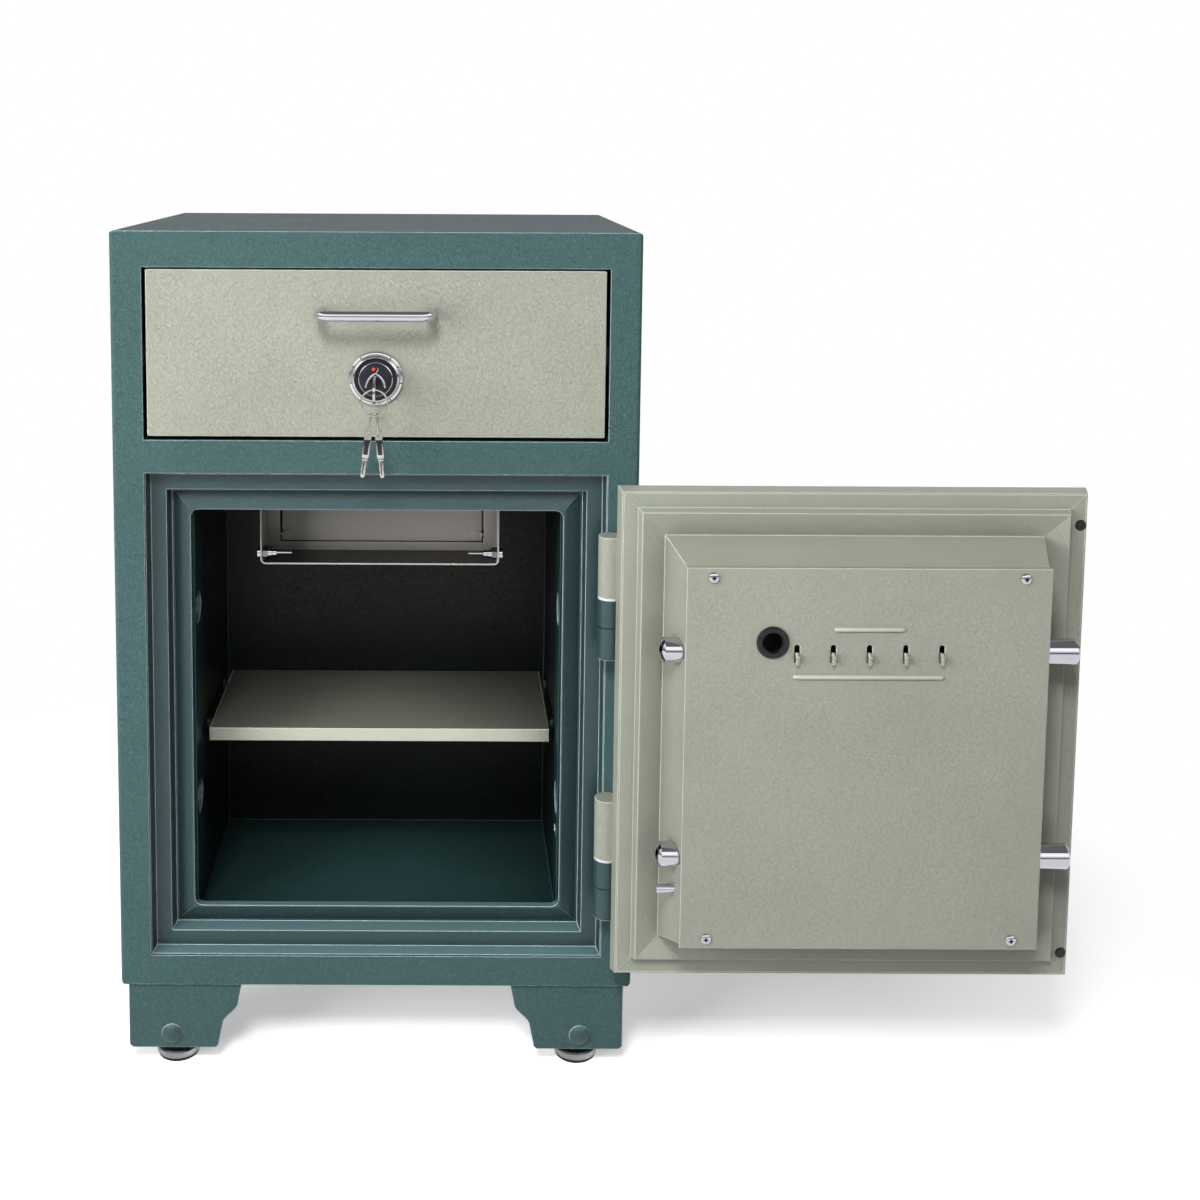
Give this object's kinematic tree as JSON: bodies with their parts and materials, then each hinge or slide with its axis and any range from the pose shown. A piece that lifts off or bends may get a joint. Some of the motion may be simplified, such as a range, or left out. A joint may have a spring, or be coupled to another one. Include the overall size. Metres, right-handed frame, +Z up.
{
  "type": "drop safe with deposit drawer",
  "caption": "Upright drop safe: key-locked deposit drawer over a fire-insulated vault with chute, shelf and a bolted swing door on barrel hinges.",
  "frame": {"origin": "middle of the two-hole floor-anchor line, on the cabinet's underside, 46 mm behind the front face", "axes": "+X towards the hinge side, +Y into the cabinet, +Z up"},
  "size_m": [0.9132, 0.476, 0.826],
  "materials": {
    "teal_paint": "wrinkle-textured enamel",
    "sage_paint": "satin enamel",
    "grey_paint": "satin primer",
    "fire_fill": "cast fire-resisting mineral fill",
    "zinc_steel": "zinc plated",
    "chrome": "polished",
    "key_steel": "nickel plated",
    "black_rubber": "matt",
    "black_plastic": "fine grained",
    "washer_nylon": "satin"
  },
  "bodies": {
    "cabinet": {"body_shell": "teal_paint", "fire_fill": "fire_fill", "door_frame": "teal_paint", "vault_liner": "teal_paint", "bolt_sockets": "teal_paint", "drawer_bay": "teal_paint", "drop_throat": "grey_paint", "shelf": "sage_paint", "shelf_pegs": "zinc_steel", "chute_shell": "grey_paint", "chute_frame": "grey_paint", "flap_pins": "zinc_steel", "chute_studs": "zinc_steel", "chute_nuts": "zinc_steel", "chute_spacers": "zinc_steel", "slide_rails": "zinc_steel", "leg_front_left": "teal_paint", "leg_front_right": "teal_paint", "leg_rear_left": "teal_paint", "leg_rear_right": "teal_paint", "leg_bolts": "teal_paint", "levelling_feet": "zinc_steel", "foot_pads": "black_rubber", "hinge_barrels": "teal_paint", "hinge_pins": "zinc_steel", "hinge_washers": "washer_nylon", "lock_keeper": "zinc_steel"},
    "flap": {"chute_flap": "grey_paint"},
    "door": {"door_skin": "sage_paint", "door_fill": "fire_fill", "door_pan": "sage_paint", "cover_plate": "sage_paint", "cover_screws": "chrome", "grommet": "black_rubber", "fixed_bolts": "chrome", "locating_pin": "chrome", "bumpers": "black_rubber", "door_barrels": "sage_paint", "bolt_bushes": "zinc_steel", "door_rosette": "chrome", "door_lock_case": "zinc_steel"},
    "boltwork": {"locking_bolts": "chrome", "bolt_bar": "zinc_steel"},
    "handle": {"door_handle": "chrome", "handle_crank": "zinc_steel"},
    "dial": {"combo_dial": "black_plastic"},
    "drawer": {"drawer_front": "sage_paint", "drawer_box": "grey_paint", "drawer_runners": "zinc_steel", "drawer_handle": "chrome", "handle_screws": "zinc_steel", "lock_rosette": "chrome", "lock_bezel": "black_plastic", "lock_case": "chrome"},
    "lock": {"lock_plug": "key_steel", "lock_cam": "zinc_steel", "cam_screw": "zinc_steel", "lock_key": "key_steel"},
    "ring": {"key_ring": "key_steel", "spare_keys": "key_steel"}
  },
  "joints": [
    {"name": "door_swing", "type": "hinge", "parent": "cabinet", "child": "door", "pos_m": [0.2222, -0.0575, 0.27], "axis": [0, 0, 1], "range_deg": [-180, 0]},
    {"name": "bolt_throw", "type": "slide", "parent": "door", "child": "boltwork", "axis": [1, 0, 0], "range_m": [-0.024, 0]},
    {"name": "handle_turn", "type": "hinge", "parent": "door", "child": "handle", "pos_m": [0.5432, -0.069, 0.268], "axis": [0, -1, 0], "range_deg": [-90, 0]},
    {"name": "dial_turn", "type": "hinge", "parent": "door", "child": "dial", "pos_m": [0.44495, -0.069, 0.347], "axis": [0, -1, 0], "continuous": true},
    {"name": "drawer_slide", "type": "slide", "parent": "cabinet", "child": "drawer", "axis": [0, -1, 0], "range_m": [0, 0.115]},
    {"name": "key_turn", "type": "hinge", "parent": "drawer", "child": "lock", "pos_m": [0, -0.046, 0.602], "axis": [0, 1, 0], "range_deg": [0, 60]},
    {"name": "ring_swing", "type": "hinge", "parent": "lock", "child": "ring", "pos_m": [0, -0.08, 0.5943], "axis": [0, 1, 0], "range_deg": [-51, 0]},
    {"name": "flap_swing", "type": "hinge", "parent": "cabinet", "child": "flap", "pos_m": [0, 0.088, 0.416], "axis": [1, 0, 0], "range_deg": [0, 75], "stiffness_Nm_per_rad": 0.08}
  ],
  "couplings": [
    {"joint": "bolt_throw", "follows": "door_swing", "m_per_rad": 0.0076394},
    {"joint": "handle_turn", "follows": "door_swing", "ratio": 0.5},
    {"joint": "ring_swing", "follows": "key_turn", "ratio": -0.85}
  ]
}
